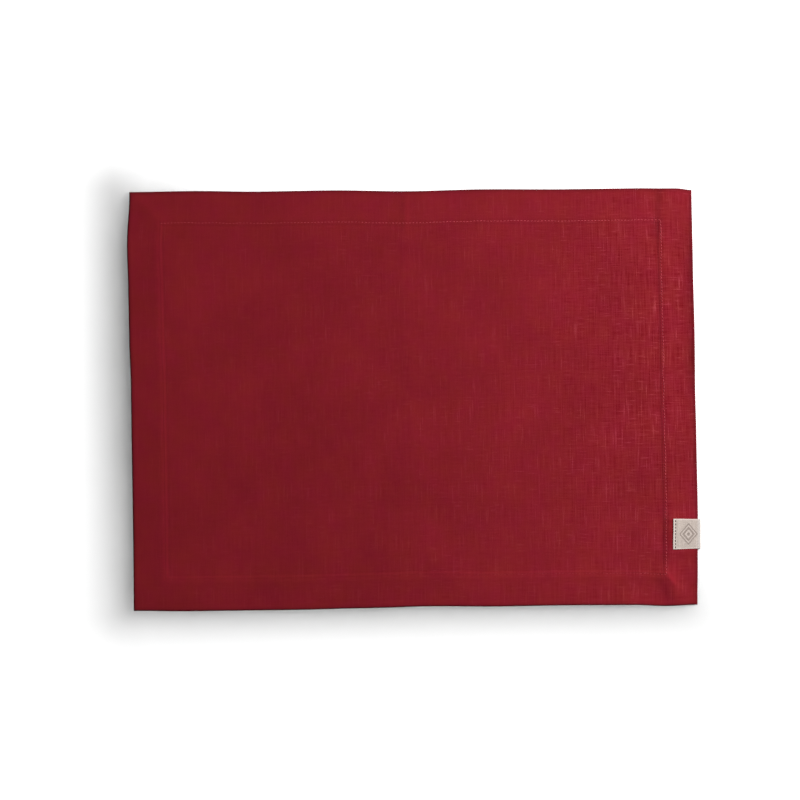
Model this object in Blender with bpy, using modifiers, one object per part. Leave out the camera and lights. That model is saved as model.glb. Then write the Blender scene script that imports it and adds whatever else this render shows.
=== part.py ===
"""Flat linen placemat with mitred hems and a tape label folded over its right-hand edge.

Metres, +Z up. X runs along the mat's long sides and Y along its short ones, with the back
edge at +Y. The origin is the middle of the underside, on the surface that the mat lies on.
The mat is one cloth, thicker in the band where its hem is folded under, and its edges stray
a little from straight as sewn linen does.
"""

from collections import namedtuple
from math import copysign, cos, pi, sin

import bmesh
import bpy
import numpy as np
from mathutils import Matrix, Vector

MM = 0.001

# Mat, between the straight lines that its folded edges follow
MAT_LENGTH = 500 * MM
MAT_DEPTH = 370 * MM
FIELD_COLUMNS = 16
FIELD_ROWS = 12

# Section of the cloth, from the nose of the folded edge in to the single layer of the field.
# The row at 28 mm is the sewn line, where the thread draws the layers down. Millimetres.
HemPoint = namedtuple("HemPoint", "inset under top")
HEM_SECTION = [
    HemPoint(inset=0.0, under=0.60, top=1.40),
    HemPoint(inset=0.8, under=0.00, top=1.90),
    HemPoint(inset=5.0, under=0.00, top=2.05),
    HemPoint(inset=14.0, under=0.00, top=2.00),
    HemPoint(inset=24.0, under=0.00, top=2.00),
    HemPoint(inset=26.8, under=0.00, top=1.85),
    HemPoint(inset=28.0, under=0.00, top=1.50),
    HemPoint(inset=29.3, under=0.00, top=1.65),
    HemPoint(inset=33.0, under=0.00, top=1.15),
    HemPoint(inset=42.0, under=0.00, top=1.00),
]

# How far each folded edge strays outside its straight line, at a distance along the side
# from its middle, left to right or front to back. Millimetres.
Stray = namedtuple("Stray", "along out")
STRAY_OF_SIDE = {
    "back": [
        Stray(-250, 1.6),
        Stray(-195, 1.4),
        Stray(-135, 0.3),
        Stray(-74, 0.8),
        Stray(0, -0.7),
        Stray(62, 0.0),
        Stray(137, -0.8),
        Stray(198, -0.6),
        Stray(250, -2.4),
    ],
    "front": [
        Stray(-250, -0.7),
        Stray(-199, 0.5),
        Stray(-109, 1.0),
        Stray(-48, -0.2),
        Stray(12, -1.1),
        Stray(72, -0.3),
        Stray(133, -0.6),
        Stray(193, 0.1),
        Stray(223, 1.3),
        Stray(250, 0.3),
    ],
    "left": [
        Stray(-185, 0.0),
        Stray(-141, -0.7),
        Stray(-52, -0.4),
        Stray(14, -0.4),
        Stray(59, 0.6),
        Stray(103, 0.9),
        Stray(136, 1.6),
        Stray(185, -1.8),
    ],
    "right": [
        Stray(-185, -0.3),
        Stray(-147, 0.7),
        Stray(-103, 1.3),
        Stray(-36, 0.5),
        Stray(8, -0.5),
        Stray(53, 0.0),
        Stray(119, -0.8),
        Stray(185, -1.2),
    ],
}
# The stray is carried whole across the hem and dies out towards the middle of the field.
STRAY_WHOLE_TO = 42 * MM
STRAY_GONE_AT = 130 * MM

# Label, a tape folded over the right-hand edge so that a leg of it lies on each face
LABEL_WIDTH = 27 * MM
LABEL_MIDDLE_Y = -123 * MM
LABEL_THICKNESS = 1.0 * MM
LABEL_END_X = 229.5 * MM
LABEL_FOLD_X = 251.6 * MM
LABEL_FOLD_STEPS = 12
GAP = 0.3 * MM

# The edge of the mat rides up over the lower leg of the label, pressed thinner there.
RIDE_UNDER = LABEL_THICKNESS + GAP
RIDE_TOP = 0.9 * MM
RIDE_MARGIN_Y = 1.5 * MM
RIDE_RAMP_Y = 10 * MM
RIDE_WHOLE_TO = 24 * MM
RIDE_GONE_AT = 33 * MM

TOLERANCE = 1e-6

# Colours are linear.
RED_LINEN = (0.255, 0.014, 0.022, 1.0)
NATURAL_TAPE = (0.610, 0.510, 0.450, 1.0)


def clear_scene():
    for obj in list(bpy.data.objects):
        bpy.data.objects.remove(obj, do_unlink=True)


def fade(distance, whole_to, gone_at):
    """1 up to whole_to, 0 beyond gone_at, and a smooth change between them."""
    share = min(max((gone_at - distance) / (gone_at - whole_to), 0.0), 1.0)
    return share * share * (3 - 2 * share)


def stray(side, along):
    """How far the named edge lies outside its straight line at this place along it."""
    table = STRAY_OF_SIDE[side]
    places = [row.along * MM for row in table]
    return np.interp(along, places, [row.out * MM for row in table])


def moved_by_edges(x, y):
    """The place of a point of the straight-sided mat once its edges stray."""

    def share(inset):
        return fade(inset, STRAY_WHOLE_TO, STRAY_GONE_AT)

    right = stray("right", y) * share(MAT_LENGTH / 2 - x)
    left = stray("left", y) * share(MAT_LENGTH / 2 + x)
    back = stray("back", x) * share(MAT_DEPTH / 2 - y)
    front = stray("front", x) * share(MAT_DEPTH / 2 + y)
    return x + right - left, y + back - front


def ride_up(x, y):
    """1 where the mat lies on the label's lower leg, and 0 away from it."""
    beside = abs(y - LABEL_MIDDLE_Y) - LABEL_WIDTH / 2 - RIDE_MARGIN_Y
    return fade(MAT_LENGTH / 2 - x, RIDE_WHOLE_TO, RIDE_GONE_AT) * fade(beside, 0, RIDE_RAMP_Y)


def heights(x, y):
    """Height of the underside and of the top at a point of the straight-sided mat."""
    inset = min(MAT_LENGTH / 2 - abs(x), MAT_DEPTH / 2 - abs(y))
    insets = [row.inset * MM for row in HEM_SECTION]
    under = np.interp(inset, insets, [row.under * MM for row in HEM_SECTION])
    top = np.interp(inset, insets, [row.top * MM for row in HEM_SECTION])
    lift = ride_up(x, y)
    return under + RIDE_UNDER * lift, top + RIDE_TOP * lift


def field_rows(half_depth):
    """Rows of the field from front to back, with the ones that shape the rise at the label."""
    even = np.linspace(-half_depth, half_depth, FIELD_ROWS + 1)
    flat = LABEL_WIDTH / 2 + RIDE_MARGIN_Y
    rise = [LABEL_MIDDLE_Y + out for out in (-flat - RIDE_RAMP_Y, -flat, flat, flat + RIDE_RAMP_Y)]
    rise += [LABEL_MIDDLE_Y - flat - RIDE_RAMP_Y / 2, LABEL_MIDDLE_Y + flat + RIDE_RAMP_Y / 2]
    clear = [y for y in even if abs(y - LABEL_MIDDLE_Y) > flat + RIDE_RAMP_Y * 1.5]
    return sorted({*clear, *(y for y in rise if abs(y) < half_depth), -half_depth, half_depth})


def field_grid(bm, half_length, half_depth):
    """The single layer between the hems, as a grid with uneven rows."""
    rows = field_rows(half_depth)
    bmesh.ops.create_grid(bm, x_segments=FIELD_COLUMNS, y_segments=len(rows) - 1, size=1.0)
    for vert in bm.verts:
        row = round((vert.co.y + 1) / 2 * (len(rows) - 1))
        vert.co = Vector((vert.co.x * half_length, rows[row], 0))


def add_ring(bm, inset, next_inset):
    """Carries the border of the mesh out by one step of the hem's section, mitred at corners."""
    half_length, half_depth = MAT_LENGTH / 2 - inset, MAT_DEPTH / 2 - inset
    border = [edge for edge in bm.edges if edge.is_boundary]
    made = bmesh.ops.extrude_edge_only(bm, edges=border)["geom"]
    for vert in (item for item in made if isinstance(item, bmesh.types.BMVert)):
        if abs(vert.co.x) > half_length - TOLERANCE:
            vert.co.x += copysign(inset - next_inset, vert.co.x)
        if abs(vert.co.y) > half_depth - TOLERANCE:
            vert.co.y += copysign(inset - next_inset, vert.co.y)


def cloth_mesh():
    """Field, then the hem's rings, then the whole sheet raised to its thickness."""
    bm = bmesh.new()
    insets = [row.inset * MM for row in reversed(HEM_SECTION)]
    field_grid(bm, MAT_LENGTH / 2 - insets[0], MAT_DEPTH / 2 - insets[0])
    for inset, next_inset in zip(insets, insets[1:]):
        add_ring(bm, inset, next_inset)
    made = bmesh.ops.extrude_face_region(bm, geom=bm.faces[:], use_keep_orig=True)["geom"]
    top = {item for item in made if isinstance(item, bmesh.types.BMVert)}
    for vert in bm.verts:
        x, y = vert.co.x, vert.co.y
        vert.co = Vector((*moved_by_edges(x, y), heights(x, y)[vert in top]))
    bmesh.ops.recalc_face_normals(bm, faces=bm.faces[:])
    return finished(bm, "cloth")


def label_route():
    """The middle of the tape in section: lower leg, round fold past the edge, upper leg."""
    low = LABEL_THICKNESS / 2
    hem_top = max(row.top for row in HEM_SECTION if row.inset * MM < RIDE_WHOLE_TO) * MM
    high = hem_top + RIDE_TOP + GAP + LABEL_THICKNESS / 2
    radius = (high - low) / 2
    turns = [pi * step / LABEL_FOLD_STEPS - pi / 2 for step in range(LABEL_FOLD_STEPS + 1)]
    fold = [(LABEL_FOLD_X + radius * cos(turn), low + radius + radius * sin(turn)) for turn in turns]
    return [(LABEL_END_X, low), *fold, (LABEL_END_X, high)]


def label_mesh():
    """The tape's middle line drawn out along Y; its thickness is a modifier."""
    bm = bmesh.new()
    verts = [bm.verts.new((x, LABEL_MIDDLE_Y - LABEL_WIDTH / 2, z)) for x, z in label_route()]
    line = [bm.edges.new(pair) for pair in zip(verts, verts[1:])]
    made = bmesh.ops.extrude_edge_only(bm, edges=line)["geom"]
    side = [item for item in made if isinstance(item, bmesh.types.BMVert)]
    bmesh.ops.translate(bm, verts=side, vec=(0, LABEL_WIDTH, 0))
    bmesh.ops.recalc_face_normals(bm, faces=bm.faces[:])
    return finished(bm, "label")


def finished(bm, name):
    mesh = bpy.data.meshes.new(name)
    bm.to_mesh(mesh)
    bm.free()
    mesh.shade_smooth()
    mesh.set_sharp_from_angle(angle=pi / 6)
    return mesh


def fabric(name, colour, roughness, sheen):
    material = bpy.data.materials.new(name)
    material.use_nodes = True
    shader = material.node_tree.nodes["Principled BSDF"]
    shader.inputs["Base Color"].default_value = colour
    shader.inputs["Roughness"].default_value = roughness
    shader.inputs["Metallic"].default_value = 0.0
    shader.inputs["Sheen Weight"].default_value = sheen
    material.diffuse_color = colour
    return material


def placed(collection, name, mesh, material):
    mesh.materials.append(material)
    obj = bpy.data.objects.new(name, mesh)
    obj.matrix_world = Matrix.Identity(4)
    collection.objects.link(obj)
    return obj


def main():
    clear_scene()
    placemat = bpy.data.collections.new("placemat")
    bpy.context.scene.collection.children.link(placemat)
    placed(placemat, "cloth", cloth_mesh(), fabric("red_linen", RED_LINEN, 0.9, 0.15))
    label = placed(placemat, "label", label_mesh(), fabric("natural_tape", NATURAL_TAPE, 0.85, 0.1))
    wall = label.modifiers.new("tape_thickness", "SOLIDIFY")
    wall.thickness = LABEL_THICKNESS
    wall.offset = 0
    wall.use_even_offset = True


main()
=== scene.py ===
# %% [markdown]
# # A linen placemat with mitred hems
# This lesson finishes a flat linen placemat in Blender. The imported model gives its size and
# its two solids, the cloth and a folded tape label. Both are plain blocks of the right shape,
# so each is replaced here by a thin woven sheet that is folded the way the real one is sewn.
# Everything is in metres, with X along the mat's long sides, Y along its short ones and the
# table at Z = 0.

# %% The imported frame
from collections import namedtuple
from math import copysign, cos, dist, exp, hypot, pi, radians, sin, tau

import bmesh
import bpy
from mathutils import Matrix, Vector, noise


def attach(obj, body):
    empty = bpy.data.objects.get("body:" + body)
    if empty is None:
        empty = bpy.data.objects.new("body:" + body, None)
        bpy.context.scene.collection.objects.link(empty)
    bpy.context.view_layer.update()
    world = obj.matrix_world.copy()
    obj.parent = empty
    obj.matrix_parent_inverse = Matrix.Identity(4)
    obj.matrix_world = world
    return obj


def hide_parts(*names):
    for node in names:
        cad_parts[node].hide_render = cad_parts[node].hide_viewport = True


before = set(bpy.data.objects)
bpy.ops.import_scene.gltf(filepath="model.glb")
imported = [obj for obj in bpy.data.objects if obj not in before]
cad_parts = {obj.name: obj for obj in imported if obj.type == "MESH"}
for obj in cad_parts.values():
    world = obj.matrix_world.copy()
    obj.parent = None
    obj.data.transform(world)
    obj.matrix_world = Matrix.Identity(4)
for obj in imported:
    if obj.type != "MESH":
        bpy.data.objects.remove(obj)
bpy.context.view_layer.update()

MM = 0.001


# %% [markdown]
# ## Camera
# The mat is photographed from straight above, lying a little right of the middle and turned
# by two thirds of a degree. A camera could be aimed by trial, but the picture's width in
# millimetres is known from the mat's own length, so lens and height follow from it. A long
# lens is used, because the mat's sides stay parallel in the picture.

# %% The camera above the mat
PICTURE_WIDTH = 710.6 * MM
LENS_MM, SENSOR_MM = 85, 36
MAT_TURN = radians(0.695)
MAT_RIGHT_OF_MIDDLE, MAT_ABOVE_MIDDLE = 12.0 * MM, 1.24 * MM


def new_object(name, data):
    piece = bpy.data.objects.new(name, data)
    bpy.context.scene.collection.objects.link(piece)
    return piece


turn = Matrix.Rotation(-MAT_TURN, 3, "Z")
camera_data = bpy.data.cameras.new("camera_above")
camera_data.lens, camera_data.sensor_width = LENS_MM, SENSOR_MM
camera = new_object("camera_above", camera_data)
camera.rotation_euler = (0, 0, -MAT_TURN)
height = PICTURE_WIDTH * LENS_MM / SENSOR_MM
camera.location = turn @ Vector((-MAT_RIGHT_OF_MIDDLE, -MAT_ABOVE_MIDDLE, height))
bpy.context.scene.camera = camera
print("camera height, m:", round(height, 3))


# %% [markdown]
# ## Table and light
# The mat lies on a white table under one large, soft lamp low at the upper right, which is
# what brings out the weave and the step of the hem. White walls give the rest of the light. A
# lamp that is near falls off across the mat, so its right side is brighter than its left.
# The standard view transform is used, so that a white table comes out white.

# %% Table, lamp and white walls
TABLE_SIDE = 8.0
TABLE_BELOW = 0.1 * MM
LAMP_BEARING, LAMP_RISE = radians(25), radians(22)
LAMP_AWAY, LAMP_POWER = 1.8, 184
LAMP_LONG, LAMP_HIGH = 1.2, 1.1
WALLS_LIGHT, WALLS_SEEN = 0.92, 0.93


def mesh_of(bm, name):
    mesh = bpy.data.meshes.new(name)
    for face in bm.faces:
        face.smooth = True
    bm.to_mesh(mesh)
    bm.free()
    return mesh


table_top = bmesh.new()
bmesh.ops.create_grid(table_top, x_segments=1, y_segments=1, size=TABLE_SIDE / 2)
bmesh.ops.translate(table_top, vec=(0, 0, -TABLE_BELOW), verts=table_top.verts)
table = new_object("white_table", mesh_of(table_top, "white_table"))

lamp_data = bpy.data.lights.new("soft_lamp", "AREA")
lamp_data.shape, lamp_data.size, lamp_data.size_y = "RECTANGLE", LAMP_LONG, LAMP_HIGH
lamp_data.energy = LAMP_POWER
lamp = new_object("soft_lamp", lamp_data)
toward_lamp = Vector((
    cos(LAMP_BEARING) * cos(LAMP_RISE), sin(LAMP_BEARING) * cos(LAMP_RISE), sin(LAMP_RISE)))
lamp.location = toward_lamp * LAMP_AWAY
lamp.rotation_euler = toward_lamp.to_track_quat("Z", "Y").to_euler()

walls = bpy.data.worlds.new("white_walls")
walls.use_nodes = True
wall_nodes, wall_links = walls.node_tree.nodes, walls.node_tree.links
wall_nodes["Background"].inputs["Strength"].default_value = WALLS_LIGHT
seen = wall_nodes.new("ShaderNodeBackground")
seen.inputs["Color"].default_value = (WALLS_SEEN, WALLS_SEEN, WALLS_SEEN, 1)
camera_ray = wall_nodes.new("ShaderNodeLightPath")
chosen = wall_nodes.new("ShaderNodeMixShader")
for node, socket in zip((camera_ray, wall_nodes["Background"], seen), chosen.inputs):
    wall_links.new(node.outputs[0], socket)
wall_links.new(chosen.outputs[0], wall_nodes["World Output"].inputs["Surface"])
bpy.context.scene.world = walls
bpy.context.scene.view_settings.view_transform = "Standard"
print("lamp at, m:", [round(c, 2) for c in lamp.location])


# %% [markdown]
# ## The hem's route
# A placemat like this is one piece of linen. Its edges are folded to the back, the raw edge
# is turned in again, and one row of stitches holds the three layers. The route below follows
# the middle of the sheet from the field out to the folded edge and back underneath, as the
# distance in from the finished edge and the height over the table. A thickened slab would
# look the same from above, but it has no folds to show at its edges, so the real route is
# used and given the sheet's thickness at the end.

# %% Route of the sheet through the hem
HALF_X, HALF_Y = 250 * MM, 185 * MM
SHEET = 0.35 * MM
SEWN_INSET = 28.0 * MM
FIELD_INSET = 34 * MM
RoutePoint = namedtuple("RoutePoint", "inset height")
UPPER_ROUTE = [RoutePoint(inset * MM, height * MM) for inset, height in (
    (33, 0.185), (32, 0.24), (31.1, 0.38), (30.3, 0.58), (29.6, 0.78), (28.9, 0.90),
    (28.4, 0.94), (28, 0.92), (27.6, 0.94), (26.7, 0.98), (25, 1.00), (23, 1.00),
    (21.5, 0.98), (20, 0.96), (16, 0.93), (11, 0.90), (7, 0.88), (3.6, 0.86),
    (1.6, 0.85), (0.6, 0.81), (0.12, 0.66), (0, 0.51))]
LOWER_ROUTE = [RoutePoint(inset * MM, height * MM) for inset, height in (
    (0.10, 0.39), (0.6, 0.24), (2, 0.18), (10, 0.175), (19, 0.175), (27.4, 0.175),
    (28.9, 0.185), (29.38, 0.25), (29.5, 0.36), (29.38, 0.47), (28.9, 0.54), (27.4, 0.55),
    (25, 0.57), (21.4, 0.57))]


def lengths_along(route):
    """The length of a route up to each of its points."""
    lengths = [0.0]
    for before, point in zip(route, route[1:]):
        lengths.append(lengths[-1] + dist(before, point))
    return lengths


ROUTE = UPPER_ROUTE + LOWER_ROUTE
UPPER_RINGS = len(UPPER_ROUTE)
# How far outside the finished edge each point of the route lies on the flat cut.
CUT_OUTSIDE = [-point.inset for point in UPPER_ROUTE]
CUT_OUTSIDE += lengths_along(ROUTE[UPPER_RINGS - 1:])[1:]


# %% [markdown]
# ## Pressing the hem
# The field is a grid, and the hem grows from its border: each point of the route is one
# extrusion of the open border, moved straight out from its side, so the corners are mitred
# without any work. The border is first cut into columns half a stitch wide, because the row
# of stitches needs one column for each needle hole and one between. The corner columns grow
# wide as they fan out, so they are cut again across the mitre.

# %% Field and hem as one surface
FIELD_COLUMNS, FIELD_ROWS = 96, 68
COLUMN_CUTS, MITRE_CUTS = 2, 17
TOLERANCE = 1e-6


def extruded(bm, edges):
    """Extrudes edges once and returns the new vertices and edges."""
    made = bmesh.ops.extrude_edge_only(bm, edges=edges)["geom"]
    return [
        [part for part in made if isinstance(part, kind)]
        for kind in (bmesh.types.BMVert, bmesh.types.BMEdge)]


def on_mitre(vertex):
    x, y, _ = vertex.co
    return abs((abs(x) - HALF_X) - (abs(y) - HALF_Y)) < TOLERANCE


def pressed_mat():
    """The middle of the sheet, pressed dead straight, with each vertex's ring on a layer."""
    bm = bmesh.new()
    ring = bm.verts.layers.float.new("ring")
    bmesh.ops.create_grid(bm, x_segments=FIELD_COLUMNS, y_segments=FIELD_ROWS, size=1)
    bmesh.ops.scale(bm, vec=(HALF_X - FIELD_INSET, HALF_Y - FIELD_INSET, 1), verts=bm.verts)
    bmesh.ops.translate(bm, vec=(0, 0, SHEET / 2), verts=bm.verts)
    border = [edge for edge in bm.edges if edge.is_boundary]
    bmesh.ops.subdivide_edges(bm, edges=border, cuts=COLUMN_CUTS)
    rim = [edge for edge in bm.edges if edge.is_boundary]
    before = FIELD_INSET
    for number, point in enumerate(ROUTE, start=1):
        verts, rim = extruded(bm, rim)
        for vertex in verts:
            for axis, half in enumerate((HALF_X, HALF_Y)):
                if abs(abs(vertex.co[axis]) - (half - before)) < TOLERANCE:
                    vertex.co[axis] = copysign(half - point.inset, vertex.co[axis])
            vertex.co.z, vertex[ring] = point.height, number
        before = point.inset
    rungs = [
        edge for edge in bm.edges
        if on_mitre(edge.verts[0]) != on_mitre(edge.verts[1])
        and min(v[ring] for v in edge.verts) >= 1]
    bmesh.ops.subdivide_edges(bm, edges=rungs, cuts=MITRE_CUTS, use_grid_fill=True)
    return bm, ring


mat, ring_layer = pressed_mat()
CUT_AREA = sum(face.calc_area() for face in mat.faces)
print("sheet faces:", len(mat.faces), "area, m2:", round(CUT_AREA, 4))


# %% [markdown]
# ## The flat cut as a UV map
# The weave must follow the threads round every fold, and meet at an angle in the mitres as it
# does on the real mat. Unwrapping could find such a map, but here it is known: it is where
# each point lay on the flat cut before folding. So every corner of every face gets its place
# on the cut in metres, and the weave is drawn on that.

# %% UV map in metres of the flat cut
def place_on_cut(face, vertex, ring):
    """The flat place of one corner of a face, folded out over the side the face is on."""
    x, y, _ = vertex.co
    number = round(vertex[ring])
    if number == 0:
        return x, y
    outside = CUT_OUTSIDE[number - 1]
    middle = face.calc_center_median()
    if abs(middle.x) - HALF_X > abs(middle.y) - HALF_Y:
        return copysign(HALF_X + outside, middle.x), y
    return x, copysign(HALF_Y + outside, middle.y)


cut_map = mat.loops.layers.uv.new("flat_cut")
for face in mat.faces:
    for loop in face.loops:
        loop[cut_map].uv = place_on_cut(face, loop.vert, ring_layer)


# %% [markdown]
# ## Edges that stray
# No sewn edge is straight. The four tables give how far each finished edge strays outward
# along its side. The stray is whole over the hem and dies away in the field, so the sewn row
# follows its edge as it does on the real mat. Random wobble would be quicker, but it would
# not be this mat's outline.

# %% Strays of the four edges
Stray = namedtuple("Stray", "along out")
STRAYS = {side: [Stray(along * MM, out * MM) for along, out in pairs] for side, pairs in {
    "back": ((-250, 1), (-195, 1.4), (-135, 0.3), (-74, 0.6), (0, -1), (62, -0.1),
             (137, -0.9), (198, -0.8), (236, -1.3), (250, -2.8)),
    "front": ((-250, 0), (-199, 0.9), (-109, 1), (-48, 0.2), (12, -0.8), (72, 0.1),
              (133, -0.2), (193, 0.3), (223, 1.6), (250, 0.8)),
    "left": ((-185, 0), (-141, -0.1), (-52, 0.1), (14, 0.3), (59, 1.3), (103, 1.6),
             (136, 2.3), (185, -0.3)),
    "right": ((-185, -0.3), (-147, 0.4), (-103, 1), (-36, 0.5), (8, -0.1), (53, 0),
              (119, -0.8), (185, -1.2)),
}.items()}
STRAY_WHOLE_TO, STRAY_GONE_AT = 42 * MM, 130 * MM


def smooth_step(value, low, high):
    """0 up to low, 1 from high on, and an even rise between. It falls if low is the larger."""
    share = min(1.0, max(0.0, (value - low) / (high - low)))
    return share * share * (3 - 2 * share)


def stray(side, along):
    knots = STRAYS[side]
    for left, right in zip(knots, knots[1:]):
        if along <= right.along:
            share = smooth_step(along, left.along, right.along)
            return left.out + (right.out - left.out) * share
    return knots[-1].out


def fade(distance):
    return smooth_step(distance, STRAY_GONE_AT, STRAY_WHOLE_TO)


def strayed(x, y):
    moved_x = stray("right", y) * fade(HALF_X - x) - stray("left", y) * fade(HALF_X + x)
    moved_y = stray("back", x) * fade(HALF_Y - y) - stray("front", x) * fade(HALF_Y + y)
    return x + moved_x, y + moved_y


print("back edge strays, mm:", [round(stray("back", x * MM) / MM, 2) for x in (-240, 0, 240)])


# %% [markdown]
# ## Creases, puckers and rims
# Pressed linen still has relief: a soft ridge on each mitre, faint creases where it was
# folded for storage, a pucker at every needle hole and a rim that curls up here and there.
# Sculpting or a cloth simulation would give relief too, but not in chosen places, so each one
# is a row of a table with its place and size, and a smooth bump of that size is added.

# %% Tables of the relief
Crease = namedtuple("Crease", "from_x from_y to_x to_y left right height")
CREASES = [Crease(*(size * MM for size in sizes)) for sizes in (
    (-5, 178, -7, 118, 3, 3.5, 0.16), (-7, 118, -4, -20, 4.5, 4.5, 0.07),
    (223, 158, 225, 183, 4.6, 20, 0.55), (223, -162, 228, -170, 9, 7.5, 0.90),
    (222, -156.5, 227.5, -164, 2.2, 2.6, 0.24),
    (-223, 158, -246, 181, 8, 5, 0.14), (-223, -158, -246, -181, 5, 8, 0.14),
    (209, -131, 221, -140, 5, 6, 0.16), (118, 60, 176, 22, 9, 9, 0.10),
    (-160, -96, -88, -118, 10, 10, 0.08), (-190, 90, -120, 122, 9, 9, 0.08),
    (60, -120, 150, -102, 9, 9, 0.09))]
RimLift = namedtuple("RimLift", "side along width reach height")
RIM_LIFTS = [RimLift(side, *(size * MM for size in sizes)) for side, *sizes in (
    ("right", 113, 60, 6.5, 0.9), ("right", 35, 60, 6.5, 1.0), ("right", -60, 60, 6.0, 0.4),
    ("left", 120, 160, 110, 2.2), ("left", -40, 150, 120, 2.3), ("left", -180, 90, 100, 1.6),
    ("front", -200, 140, 100, 1.6), ("front", -20, 170, 90, 1.9), ("front", 150, 120, 60, 1.2),
    ("back", 60, 130, 10, 0.2))]
RIM_CURL, RIM_SPREAD = 1.25, 1.6
HELD = {"right": 0.48 * MM, "left": 0.69 * MM, "back": 0.62 * MM, "front": 0.60 * MM}
HELD_FROM, HELD_WHOLE, HELD_FADES, HELD_BLEND = 28.4 * MM, 33 * MM, 34 * MM, 8 * MM
SWELL, SWELL_ACROSS, SWELL_SEED = 0.12 * MM, 48 * MM, 3.7
SWELL_FINER, SWELL_FINE_SHARE = 3.1, 0.4
RIPPLE, RIPPLE_ACROSS, RIPPLE_REACH, RIPPLE_SEED = 0.05 * MM, 8 * MM, 5 * MM, 11.3
PUCKER, PUCKER_REACH, PUCKER_LOOSE = 0.10 * MM, 1.0 * MM, 0.4
TIGHTER = (150 * MM, 215 * MM)
COLUMN_X = 2 * (HALF_X - FIELD_INSET) / (FIELD_COLUMNS * (COLUMN_CUTS + 1))
COLUMN_Y = 2 * (HALF_Y - FIELD_INSET) / (FIELD_ROWS * (COLUMN_CUTS + 1))
PITCH_X, PITCH_Y = 2 * COLUMN_X, 2 * COLUMN_Y
print("stitch pitch, mm:", round(PITCH_X / MM, 3), round(PITCH_Y / MM, 3))


# %% Height of the relief at a place
NOTHING_LEFT, RUNS_OUT = 2.6, 0.75


def bump(distance, width):
    return exp(-(distance / width) ** 2)


def crease_height(crease, x, y):
    """A ridge along a line, with its own reach to either side, running out at its ends."""
    run_x, run_y = crease.to_x - crease.from_x, crease.to_y - crease.from_y
    length = hypot(run_x, run_y)
    ahead_x, ahead_y = x - crease.from_x, y - crease.from_y
    leftward = (run_x * ahead_y - run_y * ahead_x) / length
    reach = crease.left if leftward > 0 else crease.right
    if abs(leftward) > NOTHING_LEFT * reach:
        return 0.0
    along = (ahead_x * run_x + ahead_y * run_y) / length
    beyond = max(0.0, -along, along - length)
    runs_out = RUNS_OUT * (crease.left + crease.right)
    return crease.height * bump(leftward, reach) * bump(beyond, runs_out)


def side_place(side, x, y):
    """Distance along a side and in from it."""
    return {
        "right": (y, HALF_X - x), "left": (y, HALF_X + x),
        "back": (x, HALF_Y - y), "front": (x, HALF_Y + y)}[side]


def rim_height(lift, x, y):
    along, inset = side_place(lift.side, x, y)
    if inset > lift.reach:
        return 0.0
    rise = (1 - max(0.0, inset) / lift.reach) ** RIM_CURL
    return lift.height * rise * bump(along - lift.along, lift.width / RIM_SPREAD)


def held_up(x, y):
    """How far the hem's thickness holds the single layer of the field off the table."""
    inset = min(HALF_X - abs(x), HALF_Y - abs(y))
    if inset < HELD_FROM:
        return 0.0
    shares = {side: exp(-side_place(side, x, y)[1] / HELD_BLEND) for side in HELD}
    height = sum(HELD[side] * share for side, share in shares.items()) / sum(shares.values())
    return height * smooth_step(inset, HELD_FROM, HELD_WHOLE) * bump(
        max(0.0, inset - HELD_WHOLE), HELD_FADES)


def swell(x, y):
    """Broad waviness of cloth that was never quite flattened."""
    place = Vector((x / SWELL_ACROSS, y / SWELL_ACROSS, SWELL_SEED))
    fine = SWELL_FINE_SHARE * SWELL * (1 + noise.noise(SWELL_FINER * place))
    return SWELL * (1 + noise.noise(place)) + fine


def sewn_place(x, y):
    """Distance across the row of stitches, and the place along it in stitches."""
    inset_x, inset_y = HALF_X - abs(x), HALF_Y - abs(y)
    if inset_x < inset_y:
        return inset_x - SEWN_INSET, y / PITCH_Y
    return inset_y - SEWN_INSET, x / PITCH_X


def ripple(x, y):
    place = Vector((x / RIPPLE_ACROSS, y / RIPPLE_ACROSS, RIPPLE_SEED))
    return RIPPLE * (1 + noise.noise(place)) * bump(sewn_place(x, y)[0], RIPPLE_REACH)


def pucker(x, y):
    """How far a needle hole draws the cloth in: most at the right row, which is sewn tighter."""
    across, stitches = sewn_place(x, y)
    at_hole = 0.5 + 0.5 * cos(tau * stitches)
    firmness = PUCKER_LOOSE + (1 - PUCKER_LOOSE) * smooth_step(x, *TIGHTER)
    return PUCKER * firmness * at_hole * bump(across, PUCKER_REACH)


def relief(x, y):
    """How far the whole stack of layers is raised off the table."""
    creased = sum(crease_height(crease, x, y) for crease in CREASES)
    lifted = sum(rim_height(lift, x, y) for lift in RIM_LIFTS)
    return creased + lifted + swell(x, y) + ripple(x, y)


print("relief in the middle, mm:", round(relief(0, 0) / MM, 2))


# %% [markdown]
# ## Over the label's lower leg
# The tape label is folded over the right-hand edge, so half of it lies under the hem, and the
# hem rides over it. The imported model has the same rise, and it is repeated here at the
# thickness of the woven tape.

# %% Laying the sheet down
TAPE = 0.20 * MM
LABEL_MIDDLE, LABEL_HALF = -123 * MM, 13.5 * MM
RIDE_HEIGHT, RIDE_EDGE = 2.2 * TAPE, 10 * MM
RIDE_FADES = (32 * MM, 23 * MM)


def ride(x, y):
    beside = abs(y - LABEL_MIDDLE) - LABEL_HALF
    return RIDE_HEIGHT * smooth_step(beside, RIDE_EDGE, 0) * smooth_step(HALF_X - x, *RIDE_FADES)


def laid(x, y, z, upper, pull=0.0):
    """A point of the straight, pressed mat, moved to its place on the real one. pull is how
    much the thread draws this layer down at the needle holes, from -1 to 1."""
    raised = relief(x, y) + ride(x, y) - pull * pucker(x, y)
    if upper:
        raised += held_up(x, y)
    return Vector((*strayed(x, y), z + raised))


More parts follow.
